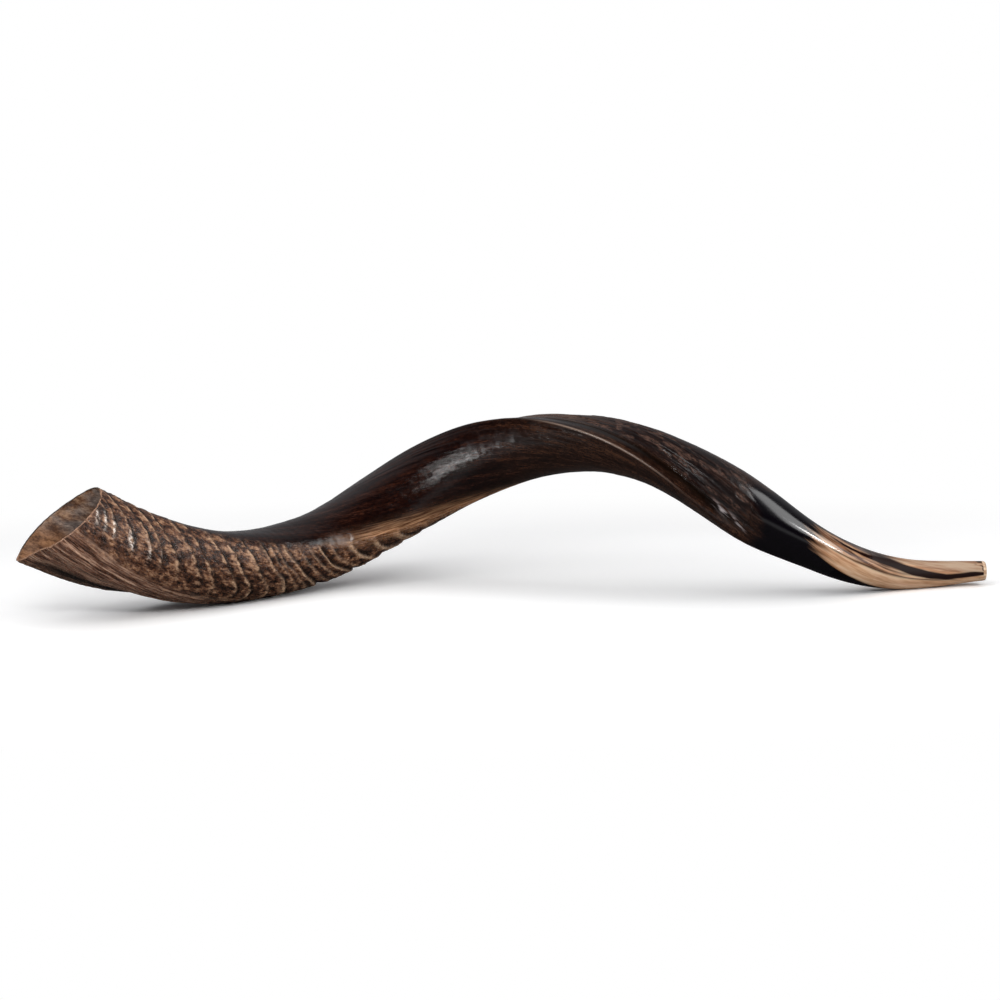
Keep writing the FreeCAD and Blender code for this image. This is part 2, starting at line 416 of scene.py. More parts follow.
# Station where the cream colour begins, by the angle round the horn.
PALE_ANGLES = (0.0, 32.0, 48.0, 62.0, 70.0, 90.0, 118.0, 132.0,
               150.0, 168.0, 184.0, 230.0, 255.0, 300.0, 335.0, 360.0)
PALE_STATIONS = (0.885, 0.885, 0.878, 0.845, 0.800, 0.789, 0.787, 0.790,
                 0.796, 0.808, 0.845, 0.850, 0.850, 0.835, 0.850, 0.885)


def pale_mask(station, around, straight):
    """1 on the cream end of the horn."""
    start = np.interp(around, PALE_ANGLES, PALE_STATIONS)
    ragged = 0.012 * noise(straight, 0.05, 0.0016, 41)
    ragged = ragged + 0.006 * noise(straight, 0.03, 0.0008, 42)
    return smooth(station + ragged, start - 0.010, start + 0.022)


def tan_mask(station, around, straight):
    """1 where brown still shows through the cream: above the thin line, and along the lower edge."""
    upper = stretch(around, 112.0, 126.0, 176.0, 188.0)
    upper = upper * (1.0 - smooth(station, 0.86, 0.92))
    start = np.interp(around, PALE_ANGLES, PALE_STATIONS)
    lower = (1.0 - smooth(around, 56.0, 72.0)) * (1.0 - smooth(station - start, 0.005, 0.04))
    streaky = smooth(noise(straight, 0.050, 0.0013, 43), -0.55, 0.45)
    return np.clip(np.maximum(upper, lower) * streaky, 0.0, 1.0)


def top_shade_mask(station, around, straight):
    """1 on the upper side of the cream end, where painted shade darkens it to grey."""
    further = smooth(station, 0.870, 0.900)
    ragged = around + 6.0 * noise(straight, 0.04, 0.003, 44) - 22.0 * further
    upper = smooth(ragged, 150.0, 166.0) * (1.0 - smooth(around, 262.0, 290.0))
    return upper * (1.0 - 0.55 * further)


def underside_light_mask(station, around, straight):
    """1 on a strip low on the front of the cream end, where painted light makes it palest."""
    strip = stretch(around, 50.0, 68.0, 98.0, 118.0)
    return strip * smooth(station, 0.875, 0.905)


def dull_mask(station, around, straight):
    """1 on the unpolished side of the cream end."""
    return stretch(around, 118.0, 136.0, 200.0, 225.0) * smooth(station, 0.850, 0.870)


# Dark band along the cream end: its middle and half width, in degrees.
BAND_STATIONS = (0.80, 0.82, 0.85, 0.88, 0.91, 0.95, 0.985, 1.0)
BAND_MIDDLES = (140.0, 143.0, 150.0, 164.0, 157.0, 151.0, 172.0, 178.0)
BAND_WIDTHS = (3.0, 4.0, 7.0, 17.0, 17.0, 15.0, 12.0, 8.0)

# Thin line below the band, and two more beside that: darkness, share of the wander, degrees from
# the first line, width, and the stations over which it fades.
LINE_STATIONS = (0.80, 0.85, 0.90, 0.955)
LINE_MIDDLES = (106.0, 120.0, 126.0, 139.0)
THIN_LINES = (
    (0.85, 0.5, 0.0, 3.2, 0.955, 0.975),
    (0.60, 1.0, 15.0, 3.0, 0.90, 0.93),
    (0.55, 1.0, 30.0, 4.0, 0.87, 0.90),
)


def streak_mask(station, around, straight):
    """1 on the dark streaks of the cream end."""
    wander = 3.0 * noise(straight, 0.03, 0.004, 45) + 2.0 * noise(straight, 0.012, 0.0012, 46)
    middle = np.interp(station, BAND_STATIONS, BAND_MIDDLES)
    width = np.interp(station, BAND_STATIONS, BAND_WIDTHS)
    streaks = [1.0 - smooth(np.abs(around + wander - middle), 0.70 * width, 1.30 * width)]
    middle = np.interp(station, LINE_STATIONS, LINE_MIDDLES)
    for dark, share, offset, spread, fading, end in THIN_LINES:
        line = dark * bell_curve(around + share * wander, middle + offset, spread)
        streaks.append(line * (1.0 - smooth(station, fading, end)))
    hidden = bell_curve(around + 2.0 * wander, 305.0 - 60.0 * (station - 0.85), 12.0)
    chips = noise(straight, 0.004, 0.003, 47) + 0.4 * noise(straight, 0.002, 0.0012, 48)
    end = smooth(station, 0.984, 0.992) * smooth(chips, 0.10, 0.35)
    return np.clip(np.maximum.reduce([*streaks, 0.8 * hidden, 0.9 * end]), 0.0, 1.0)


# What makes each mask. All of these are called alike, also the ones that need no noise. The ridges
# make the other masks, and the station is passed on as it is.
# The "worn" mask marks the painted highlight along the keel's crest.
SKIN_MASKS = {
    "raw": raw_mask, "groove": groove_mask, "keel_side": keel_side_mask, "mottled": mottled_mask,
    "patch": patch_mask, "scrape": groove_highlight_mask, "polish": polish_mask, "worn": keel_highlight_mask,
    "gold": gold_mask, "pale": pale_mask, "tan": tan_mask, "ash": top_shade_mask, "under": underside_light_mask,
    "dull": dull_mask, "streak": streak_mask,
}
MASKS = ("crest", "crease", "slope", "glint", "station", *SKIN_MASKS)


def masks(station, around, straight):
    """Everything that the horn material needs to know about the skin."""
    _, crest, crease, slope = ridges(station, around, straight)
    glint = glint_mask(station, around, crest)
    found = {"crest": crest, "crease": crease, "slope": slope, "glint": glint, "station": station}
    for name, mask in SKIN_MASKS.items():
        found[name] = mask(station, around, straight)
    return found


# ---------- surfaces

EVEN = 2.0 * math.pi * np.arange(COLUMNS) / COLUMNS
FROM_KEEL = wrapped(EVEN - KEEL_CROWDING * np.sin(EVEN))   # of the points round a ring
AROUND = np.degrees(-FROM_KEEL) % 360.0


def skin(station):
    """Points of the real outer skin, and their places along the grain, for rings of stations."""
    from_keel = np.broadcast_to(FROM_KEEL, station.shape)
    around = np.broadcast_to(AROUND, station.shape)
    smooth_reach = outline(station, from_keel)
    straight = unrolled(station, from_keel, smooth_reach)
    height = spokes(centre(station), station, from_keel, smooth_reach)[..., 2]
    worn = relief(station, around, straight)
    worn = np.where(worn < 0.0, worn * smooth(height, *FLOOR_FADE), worn)
    return spokes(centre(station), station, from_keel, smooth_reach - worn), straight


def inner_wall(station):
    """Points of the cavity wall and the drill hole, and their places along the grain."""
    from_keel = np.broadcast_to(FROM_KEEL, station.shape)
    around = np.broadcast_to(AROUND, station.shape)
    reach = cavity_outline(station, from_keel)
    outer = outline(station, from_keel)
    worn_outer = outer - relief(station, around, unrolled(station, from_keel, outer))
    reach = np.minimum(reach, worn_outer - VISIBLE_WALL)
    size = np.linalg.norm(RIM_NORMAL)
    smooth_skin = spokes(centre(station), station, from_keel, outer)
    below_cut = RIM_DISTANCE * size - smooth_skin @ RIM_NORMAL / size
    thinned = 1.0 - smooth(below_cut, 0.0, RIM_THINNING)
    reach = reach + thinned * np.maximum(worn_outer - RIM_WALL - reach, 0.0)
    straight = unrolled(station, from_keel, reach)
    worn = 0.00025 * noise(straight, 0.05, 0.003, 61) + 0.0002 * noise(straight, 0.006, 0.02, 62)
    reach = np.where(station > BORE_START, np.maximum(reach, BORE_RADIUS), reach - 0.0002 + worn)
    return spokes(inner_centre(station), station, from_keel, reach), straight


def spokes(middle, station, from_keel, reach):
    """Points at this distance from the middle, straight across the horn."""
    _, outward, side = directions(station)
    angle = keel_angle(station) + from_keel
    across = outward * np.cos(angle)[..., None] + side * np.sin(angle)[..., None]
    return middle + across * reach[..., None]


def rim_stations(surface):
    """Station at which each column of a surface meets the saw cut."""
    low, high = (np.full((1, COLUMNS), limit) for limit in RIM_SEARCH)
    for _ in range(RIM_HALVINGS):
        middle = (low + high) / 2.0
        points, _ = surface(middle)
        outside = points @ unit(RIM_NORMAL) > RIM_DISTANCE * np.linalg.norm(RIM_NORMAL)
        low = np.where(outside, middle, low)
        high = np.where(outside, high, middle)
    return (low + high) / 2.0


def slopes(points):
    """Normals of a grid of rings, which point away from the inside of the wall."""
    along = np.gradient(points, axis=0)
    round_it = np.roll(points, -1, axis=1) - np.roll(points, 1, axis=1)
    return unit(np.cross(round_it, along))


def band(points, normals, straight, material, station=None):
    return {"points": points, "normals": normals, "straight": straight, "material": material,
            "station": station}


def zone_grid(first, last, step, rim):
    """Stations of a zone's rings, and of one more past each end. Rings from the saw cut turn upright."""
    start = first if rim is None else SLANT_END
    count = max(2, int(round((last - start) / step)) + 1)
    stations = np.concatenate([[start - step], np.linspace(start, last, count), [last + step]])
    grid = np.repeat(stations[:, None], COLUMNS, axis=1)
    if rim is None:
        return grid
    share = np.linspace(0.0, 1.0, int((SLANT_END - rim.min()) / step))[:-1, None]
    slanted = rim + (SLANT_END - rim) * share
    before = rim - (SLANT_END - rim) * share[1]
    return np.concatenate([before, slanted, grid[1:]])


def skin_band(first, last, step, rim=None):
    """Outer skin from one station to the next, or from a ring that follows the saw cut."""
    grid = zone_grid(first, last, step, rim)
    points, straight = skin(grid)
    return band(points[1:-1], slopes(points)[1:-1], straight[1:-1], SKIN_SLOT, grid[1:-1])


def wall_band(first, last, step, rim=None):
    """Inner wall from the last station back to the first one."""
    points, straight = inner_wall(zone_grid(first, last, step, rim)[::-1])
    return band(points[1:-1], slopes(points)[1:-1], straight[1:-1], WALL_SLOT)


def bridge(start, end, normal, rings, material):
    """Flat band from one ring of points to another."""
    share = np.linspace(0.0, 1.0, rings)[:, None, None]
    points = start[0] + (end[0] - start[0]) * share
    straight = start[1] + (end[1] - start[1]) * share
    return band(points, np.broadcast_to(normal, points.shape), straight, material)


def rounding(start, corner, end, normal_start, normal_end, rings=5, material=CUT_SLOT):
    """Rounded edge: a curve from start to end that bends at the corner."""
    share = np.linspace(0.0, 1.0, rings)[:, None, None]
    points = start[0] * (1.0 - share) ** 2 + corner[0] * 2.0 * share * (1.0 - share)
    points = points + end[0] * share ** 2
    straight = start[1] + (end[1] - start[1]) * share
    normals = unit(normal_start * (1.0 - share) + normal_end * share)
    return band(points, normals, straight, material)


def last_ring(item):
    return item["points"][-1], item["straight"][-1]


def first_ring(item):
    return item["points"][0], item["straight"][0]


# ---------- pieces

def bell_bands(first, last, wall_step):
    """Zone with the sawn rim."""
    normal = unit(RIM_NORMAL)
    outer_station = rim_stations(skin)
    inner_station = rim_stations(inner_wall)
    outer_corner = tuple(value[0] for value in skin(outer_station))
    inner_corner = tuple(value[0] for value in inner_wall(inner_station))
    outer = skin_band(first, last, RING_STEP, outer_station + EDGE)
    wall = wall_band(first, last, wall_step, inner_station + EDGE)
    across = unit(inner_corner[0] - outer_corner[0])
    outer_edge = (outer_corner[0] + across * EDGE, outer_corner[1])
    inner_edge = (inner_corner[0] - across * EDGE, inner_corner[1])
    along = directions(np.array([last]))[0][0]
    return [
        outer,
        bridge(last_ring(outer), first_ring(wall), along, 2, CUT_SLOT),
        wall,
        rounding(last_ring(wall), inner_corner, inner_edge, wall["normals"][-1], normal),
        bridge(inner_edge, outer_edge, normal, 4, CUT_SLOT),
        rounding(outer_edge, outer_corner, first_ring(outer), normal, outer["normals"][0]),
    ]


def middle_bands(first, last, wall_step):
    """Zone between two others."""
    outer = skin_band(first, last, RING_STEP)
    wall = wall_band(first, last, wall_step)
    along_first, along_last = directions(np.array([first, last]))[0]
    return [
        outer,
        bridge(last_ring(outer), first_ring(wall), along_last, 2, CUT_SLOT),
        wall,
        bridge(last_ring(wall), first_ring(outer), -along_first, 2, CUT_SLOT),
    ]


def cup_wall(depths):
    """Points of the oval cup, which narrows and turns into the drill hole, and their grain."""
    end = centre(1.0)
    along = directions(np.array(1.0))[0]
    depths = np.repeat(np.asarray(depths)[:, None], COLUMNS, axis=1)
    share = depths / CUP_DEPTH
    angle = keel_angle(1.0) + FROM_KEEL
    fullness = 1.0 - share + CUP_CURVE * 2.0 * share * (1.0 - share)
    high = CUP_BOTTOM + (CUP_HEIGHT / 2.0 - CUP_BOTTOM) * fullness
    wide = CUP_BOTTOM + (CUP_WIDTH / 2.0 - CUP_BOTTOM) * fullness
    oval = high * wide / np.hypot(wide * np.cos(angle), high * np.sin(angle))
    reach = np.maximum(oval, BORE_RADIUS)
    chord = unit(centre(BORE_START) - end)
    carved = -along * depths[..., None]
    drilled = chord * (depths[..., None] / -(chord @ along))
    middle = end + carved + (drilled - carved) * smooth(share, 0.2, 0.9)[..., None]
    from_keel = np.broadcast_to(FROM_KEEL, reach.shape)
    straight = unrolled(1.0 - depths / AXIS_LENGTH, from_keel, reach)
    return spokes(middle, np.array(1.0), from_keel, reach), straight


def cup_band(wall):
    """Cup and the start of the drill hole, up to the ring where the wall begins."""
    points, straight = cup_wall(np.linspace(EDGE, CUP_DEPTH, CUP_RINGS))
    points = np.concatenate([points, wall["points"][:1]])
    straight = np.concatenate([straight, wall["straight"][:1]])
    return band(points, slopes(points), straight, CUP_SLOT)


def tip_bands(first, last, wall_step):
    """Zone with the lip side."""
    outer = skin_band(first, last - TIP_EDGE / AXIS_LENGTH, RING_STEP)
    wall = wall_band(first, last - WALL_START * CUP_DEPTH / AXIS_LENGTH, wall_step)
    cup = cup_band(wall)
    along_first, along_last = directions(np.array([first, last]))[0]
    corner = tuple(value[0] for value in skin(np.full((1, COLUMNS), last)))
    mouth = tuple(value[0] for value in cup_wall([0.0]))
    inward = mouth[0] - corner[0]
    outer_edge = (corner[0] + inward * TIP_ROUND[0], corner[1])
    cup_edge = (mouth[0] - inward * TIP_ROUND[1], mouth[1])
    return [
        outer,
        rounding(last_ring(outer), corner, outer_edge, outer["normals"][-1], along_last, 9, LIP_SLOT),
        bridge(outer_edge, cup_edge, along_last, 3, LIP_SLOT),
        rounding(cup_edge, mouth, first_ring(cup), along_last, cup["normals"][0], 5, LIP_SLOT),
        cup,
        wall,
        bridge(last_ring(wall), first_ring(outer), -along_first, 2, CUT_SLOT),
    ]


def in_scene(name, data):
    thing = bpy.data.objects.new(name, data)
    bpy.context.scene.collection.objects.link(thing)
    return thing


def closed_piece(name, bands, materials):
    """Closed mesh from bands of rings: each band starts on the last ring of the one before it."""
    starts = np.cumsum([0] + [len(item["points"]) - 1 for item in bands])
    rings = starts[-1]
    points = np.zeros((rings, COLUMNS, 3))
    straight = np.zeros((rings, COLUMNS, 3))
    marks = {mask: np.zeros((rings, COLUMNS)) for mask in MASKS}
    corners, normals, indices = [], [], []
    here = np.arange(COLUMNS)
    there = (here + 1) % COLUMNS
    for item, start in zip(bands, starts):
        count = len(item["points"]) - 1
        points[start:start + count] = item["points"][:-1]
        straight[start:start + count] = item["straight"][:-1]
        ring = (start + np.arange(count))[:, None] * COLUMNS
        following = ((start + 1 + np.arange(count)) % rings)[:, None] * COLUMNS
        quads = np.stack([ring + here, ring + there, following + there, following + here], axis=-1)
        corners.append(quads.reshape(-1))
        slope = item["normals"]
        each = np.stack([slope[:-1], slope[:-1][:, there], slope[1:][:, there], slope[1:]], axis=2)
        normals.append(each.reshape(-1, 3))
        indices.append(np.full(count * COLUMNS, item["material"]))
    for item, start in zip(bands, starts):
        if item["station"] is not None:
            around = np.broadcast_to(AROUND, item["station"].shape)
            found = masks(item["station"], around, item["straight"])
            where = (start + np.arange(len(item["points"]))) % rings
            for mask in MASKS:
                marks[mask][where] = found[mask]

    corners = np.concatenate(corners).astype(np.int32)
    mesh = bpy.data.meshes.new(name)
    mesh.vertices.add(rings * COLUMNS)
    mesh.vertices.foreach_set("co", points.astype(np.float32).ravel())
    mesh.loops.add(len(corners))
    mesh.loops.foreach_set("vertex_index", corners)
    mesh.polygons.add(len(corners) // 4)
    mesh.polygons.foreach_set("loop_start", np.arange(0, len(corners), 4, dtype=np.int32))
    mesh.polygons.foreach_set("material_index", np.concatenate(indices).astype(np.int32))
    for material in materials:
        mesh.materials.append(material)
    mesh.update(calc_edges=True)
    mesh.validate()
    mesh.polygons.foreach_set("use_smooth", np.ones(len(mesh.polygons), bool))
    mesh.normals_split_custom_set(np.concatenate(normals))
    place = mesh.attributes.new("straight", "FLOAT_VECTOR", "POINT")
    place.data.foreach_set("vector", straight.astype(np.float32).ravel())
    for mask in MASKS:
        layer = mesh.attributes.new(mask, "FLOAT", "POINT")
        layer.data.foreach_set("value", marks[mask].astype(np.float32).ravel())
    return in_scene(name, mesh)


# ---------- materials

HORN_IOR = 1.55
TIP_IOR = 1.33              # the tip mirrors the room less


class Nodes:
    """Short calls for building a node tree."""

    def __init__(self, tree):
        self.tree = tree
        tree.nodes.clear()

    def add(self, kind, settings=None, **inputs):
        node = self.tree.nodes.new(kind)
        for key, value in (settings or {}).items():
            setattr(node, key, value)
        for key, value in inputs.items():
            self.put(node, key.replace("_", " "), value)
        return node

    def put(self, node, name, value):
        self.fill(next(item for item in node.inputs if item.name == name and item.enabled), value)

    def fill(self, socket, value):
        """Set a socket, or link it to another socket or to the mask of that name."""
        if isinstance(value, str):
            value = self.add("ShaderNodeAttribute", {"attribute_name": value}).outputs["Fac"]
        if isinstance(value, bpy.types.NodeSocket):
            self.tree.links.new(value, socket)
        else:
            socket.default_value = value

    def straight(self):
        """Place in the straightened horn."""
        return self.add("ShaderNodeAttribute", {"attribute_name": "straight"}).outputs["Vector"]

    def vector(self, operation, first, second=(0.0, 0.0, 0.0)):
        node = self.add("ShaderNodeVectorMath", {"operation": operation})
        self.fill(node.inputs[0], first)
        self.fill(node.inputs[1], second)
        return node.outputs["Value" if operation == "LENGTH" else "Vector"]

    def grain(self, along, across, detail=2.0, roughness=0.55):
        """Noise in the straightened horn, with one size along the grain and another across it."""
        place = self.vector("MULTIPLY", self.straight(), (1.0 / along, 1.0 / across, 1.0 / across))
        return self.add("ShaderNodeTexNoise", Vector=place, Scale=1.0, Detail=detail,
                        Roughness=roughness).outputs["Fac"]

    def math(self, operation, first, second, clamp=False):
        node = self.add("ShaderNodeMath", {"operation": operation, "use_clamp": clamp})
        self.fill(node.inputs[0], first)
        self.fill(node.inputs[1], second)
        return node.outputs[0]

    def times(self, first, second):
        return self.math("MULTIPLY", first, second)

    def weighed(self, first, second, share):
        """This share of the first, and the rest of the second."""
        return self.math("ADD", self.times(first, share), self.times(second, 1.0 - share))

    def between(self, value, low, high):
        """0 below low, 1 above high."""
        return self.add("ShaderNodeMapRange", {"interpolation_type": "SMOOTHSTEP"}, Value=value,
                        From_Min=low, From_Max=high).outputs["Result"]

    def ramp(self, value, *stops):
        """Colours by value: each stop is a place and a colour."""
        node = self.add("ShaderNodeValToRGB", Fac=value)
        elements = node.color_ramp.elements
        for _ in range(len(stops) - 2):
            elements.new(0.5)
        for element, (place, colour) in zip(elements, stops):
            element.position = place
            element.color = (*colour, 1.0)
        return node.outputs["Color"]

    def mix(self, share, first, second, kind="RGBA"):
        """One colour turned into another."""
        node = self.add("ShaderNodeMix", {"data_type": kind})
        for name, value in (("Factor", share), ("A", first), ("B", second)):
            self.put(node, name, (*value, 1.0) if isinstance(value, tuple) else value)
        return next(item for item in node.outputs if item.enabled)

    def blend(self, share, first, second):
        """One number turned into another."""
        return self.mix(share, first, second, "FLOAT")

    def either(self, share, first, second):
        """One shader turned into another."""
        node = self.add("ShaderNodeMixShader")
        for socket, value in zip(node.inputs, (share, first, second)):
            self.fill(socket, value)
        return node.outputs[0]


def new_material(name):
    material = bpy.data.materials.new(name)
    material.use_nodes = True
    return material, Nodes(material.node_tree)


def finish_material(nodes, colour, roughness, height, distance, ior=HORN_IOR):
    bump = nodes.add("ShaderNodeBump", Height=height, Distance=distance)
    shader = nodes.add("ShaderNodeBsdfPrincipled", Base_Color=colour, Roughness=roughness, IOR=ior,
                       Normal=bump.outputs["Normal"])
    nodes.add("ShaderNodeOutputMaterial", Surface=shader.outputs["BSDF"])


def horn_colour(nodes):
    """Colour of the outer skin."""
    speckle = nodes.grain(0.0036, 0.0018, 5.0, 0.76)
    blotch = nodes.grain(0.008, 0.005, 3.0)
    fine = nodes.grain(0.022, 0.0010, 3.0, 0.65)
    broad = nodes.grain(0.055, 0.0045, 3.0, 0.6)
    fibre = nodes.grain(0.0050, 0.0008, 4.0, 0.7)

    # Painted shade: the raw tone is darker low on each ridge's slope, just behind its crease, and lighter
    # up towards the next crest.
    slope_shade = nodes.times(nodes.math("SUBTRACT", "slope", MIDDLE_RISE), 0.085)
    raw_tone = nodes.math("ADD", nodes.weighed(speckle, blotch, 0.50), slope_shade)
    raw = nodes.ramp(raw_tone, (0.41, (0.010, 0.003, 0.001)), (0.47, (0.046, 0.016, 0.008)),
                     (0.53, (0.135, 0.056, 0.027)), (0.61, (0.400, 0.220, 0.125)))
    streaked = nodes.ramp(nodes.weighed(fine, broad, 0.55),
                          (0.40, (0.020, 0.007, 0.003)), (0.48, (0.130, 0.056, 0.033)),
                          (0.53, (0.270, 0.140, 0.090)), (0.61, (0.600, 0.380, 0.260)))
    raw = nodes.mix("keel_side", raw, streaked)
    # Painted highlight: the ridge crests are lightened to tan and whitish, in broken patches near the bell
    # and nearly all along them further on.
    late = nodes.times(nodes.between("station", 0.16, 0.24), 0.85)
    broken = nodes.math("MAXIMUM", nodes.times(nodes.between(blotch, 0.42, 0.58), 0.80), late)
    light = nodes.times("crest", broken)
    crest_highlight_colour = nodes.ramp(speckle, (0.38, (0.290, 0.160, 0.088)), (0.60, (0.800, 0.540, 0.350)))
    raw = nodes.mix(light, raw, crest_highlight_colour)
    # Painted shade: the creases behind the crests are darkened to near black.
    raw = nodes.mix(nodes.times("crease", 0.85), raw, (0.010, 0.004, 0.002))

    dark_tone = nodes.weighed(fibre, broad, 0.60)
    scraped, browner, darker = (
        nodes.ramp(dark_tone, (0.42, low), (0.52, middle), (0.62, high)) for low, middle, high in (
            ((0.003, 0.001, 0.001), (0.011, 0.003, 0.002), (0.040, 0.012, 0.006)),
            ((0.008, 0.003, 0.002), (0.025, 0.010, 0.006), (0.068, 0.030, 0.016)),
            ((0.003, 0.001, 0.001), (0.010, 0.003, 0.002), (0.040, 0.016, 0.009))))
    scraped = nodes.mix(nodes.between("station", 0.42, 0.56), scraped, browner)
    scraped = nodes.mix("mottled", scraped, darker)

    colour = nodes.mix("raw", scraped, raw)
    golden = nodes.ramp(fine, (0.38, (0.140, 0.055, 0.024)), (0.62, (0.660, 0.350, 0.180)))
    colour = nodes.mix("gold", colour, golden)
    flake = nodes.ramp(speckle, (0.42, (0.008, 0.003, 0.002)), (0.60, (0.110, 0.055, 0.038)))
    colour = nodes.mix("patch", colour, flake)
    # Painted highlight: whitish streaks in the groove beside the keel, standing in for a brushed
    # reflection.
    colour = nodes.mix("scrape", colour, (0.420, 0.370, 0.370))
    # Painted shade: the bottom of the groove beside the keel is darkened to near black, except under the
    # painted groove highlight.
    groove_shade = nodes.times(nodes.math("SUBTRACT", "groove", "scrape", clamp=True), 0.92)
    colour = nodes.mix(groove_shade, colour, (0.004, 0.002, 0.001))
    # Painted highlight: the "worn" mask draws a pale beige line along the keel's crest.
    keel_highlight = nodes.times("worn", nodes.between("station", 0.46, 0.56))
    colour = nodes.mix(keel_highlight, colour, (0.260, 0.185, 0.145))
    # Painted highlight: whitish glints on the ridge crests near the bell.
    painted_glint = nodes.times("glint", nodes.between(speckle, 0.46, 0.56))
    colour = nodes.mix(painted_glint, colour, (0.950, 0.860, 0.780))
    colour = nodes.mix("polish", colour, (0.0020, 0.0012, 0.0026))

    cream = nodes.ramp(broad, (0.38, (0.500, 0.250, 0.130)), (0.50, (0.700, 0.420, 0.250)),
                       (0.62, (0.800, 0.560, 0.370)))
    brown = nodes.ramp(fine, (0.40, (0.060, 0.020, 0.010)), (0.60, (0.330, 0.150, 0.080)))
    cream = nodes.mix("tan", cream, brown)
    # Painted shade: the upper side of the cream end is darkened to grey.
    top_shade_colour = nodes.ramp(broad, (0.40, (0.040, 0.030, 0.028)), (0.60, (0.150, 0.112, 0.102)))
    cream = nodes.mix("ash", cream, top_shade_colour)
    # Painted light: the strip low on the front of the cream end is painted palest.
    underside_light_colour = nodes.ramp(broad, (0.38, (0.760, 0.440, 0.260)), (0.60, (0.980, 0.680, 0.470)))
    cream = nodes.mix("under", cream, underside_light_colour)
    colour = nodes.mix("pale", colour, cream)
    streak = nodes.times("streak", nodes.between("station", 0.79, 0.82))
    return nodes.mix(streak, colour, (0.014, 0.003, 0.002))


def horn_roughness(nodes):
    speckle = nodes.grain(0.004, 0.002, 3.0, 0.6)
    raw = nodes.blend(nodes.between(speckle, 0.35, 0.65), 0.17, 0.48)
    uneven = nodes.weighed(nodes.grain(0.0035, 0.0040, 4.0, 0.7), nodes.grain(0.016, 0.011, 2.0, 0.5), 0.5)
    scraped = nodes.blend(nodes.between(uneven, 0.42, 0.60), 0.10, 0.24)
    level = nodes.blend("raw", scraped, raw)
    level = nodes.blend("mottled", level, 0.36)
    level = nodes.blend("worn", level, 0.14)
    shiny = nodes.blend(nodes.between("station", 0.735, 0.795), 0.17, 0.10)
    level = nodes.blend("polish", level, shiny)
    level = nodes.blend(nodes.between("station", 0.845, 0.875), level, 0.37)
    return nodes.blend("dull", level, 0.55)


def horn_height(nodes):
    rough = nodes.times(nodes.grain(0.0022, 0.0015, 4.0, 0.72), "raw")
    grain = nodes.grain(0.018, 0.0007, 3.0, 0.6)
    scrapes = nodes.grain(0.0014, 0.0060, 3.0, 0.6)
    scraped = nodes.math("SUBTRACT", 1.0, "polish")
    marks = nodes.math("ADD", nodes.times(grain, 0.22), nodes.times(scrapes, 0.12))
    return nodes.math("ADD", rough, nodes.times(marks, scraped))


def horn_material(name, ior):
    """Skin of the horn, from the raw base to the polished tip."""
    material, nodes = new_material(name)
    finish_material(nodes, horn_colour(nodes), horn_roughness(nodes), horn_height(nodes), 0.0006, ior)
    return material


def cut_material():
    """Sawn and sanded edge of the sheath, darker on the smooth face than on the ridged one."""
    material, nodes = new_material("horn_cut")
    tone = nodes.grain(0.004, 0.0012, 3.0)
    across = nodes.add("ShaderNodeSeparateXYZ", Vector=nodes.straight()).outputs["Z"]
    colour = nodes.ramp(tone, (0.38, (0.150, 0.070, 0.040)), (0.62, (0.420, 0.240, 0.150)))
    colour = nodes.mix(nodes.between(across, 0.004, 0.018), colour, (0.035, 0.018, 0.012))
    finish_material(nodes, colour, 0.45, tone, 0.0003)
    return material


def wall_material():
    """Natural inside of the horn."""
    material, nodes = new_material("horn_inside")
    patches = nodes.grain(0.013, 0.006, 4.0, 0.6)
    speckle = nodes.grain(0.0030, 0.0016, 4.0, 0.7)
    blotch = nodes.grain(0.030, 0.020, 3.0)
    tone = nodes.weighed(patches, speckle, 0.6)
    colour = nodes.ramp(tone, (0.40, (0.100, 0.040, 0.018)), (0.50, (0.240, 0.118, 0.058)),
                        (0.60, (0.500, 0.300, 0.180)))
    grey = nodes.times(nodes.between(blotch, 0.42, 0.66), 0.80)
    greyed = nodes.ramp(tone, (0.40, (0.110, 0.096, 0.090)), (0.60, (0.340, 0.300, 0.280)))
    colour = nodes.mix(grey, colour, greyed)
    towards_keel = nodes.add("ShaderNodeSeparateXYZ", Vector=nodes.straight()).outputs["Y"]
    amber = nodes.ramp(tone, (0.40, (0.070, 0.024, 0.008)), (0.60, (0.380, 0.180, 0.080)))
    near_keel = nodes.times(nodes.between(towards_keel, 0.006, 0.026), 0.85)
    colour = nodes.mix(near_keel, colour, amber)
    finish_material(nodes, colour, 0.55, nodes.grain(0.008, 0.0016, 4.0, 0.65), 0.0008)
    return material


def bare_material(name, grain, roughness, distance, *stops):
    """Worked surface in the colours of its grain."""
    material, nodes = new_material(name)
    tone = nodes.grain(*grain)
    finish_material(nodes, nodes.ramp(tone, *stops), roughness, tone, distance)
    return material


def lip_material():
    """Sanded, rounded edge that the lips rest on."""
    return bare_material("horn_lip", (0.006, 0.0020, 4.0, 0.6), 0.40, 0.0002,
                         (0.36, (0.480, 0.270, 0.150)), (0.58, (0.860, 0.640, 0.440)))


def cup_material():
    """Polished inside of the lip cup."""
    return bare_material("horn_cup", (0.010, 0.002, 3.0), 0.18, 0.0001,
                         (0.35, (0.330, 0.200, 0.120)), (0.65, (0.560, 0.390, 0.260)))


# ---------- stage

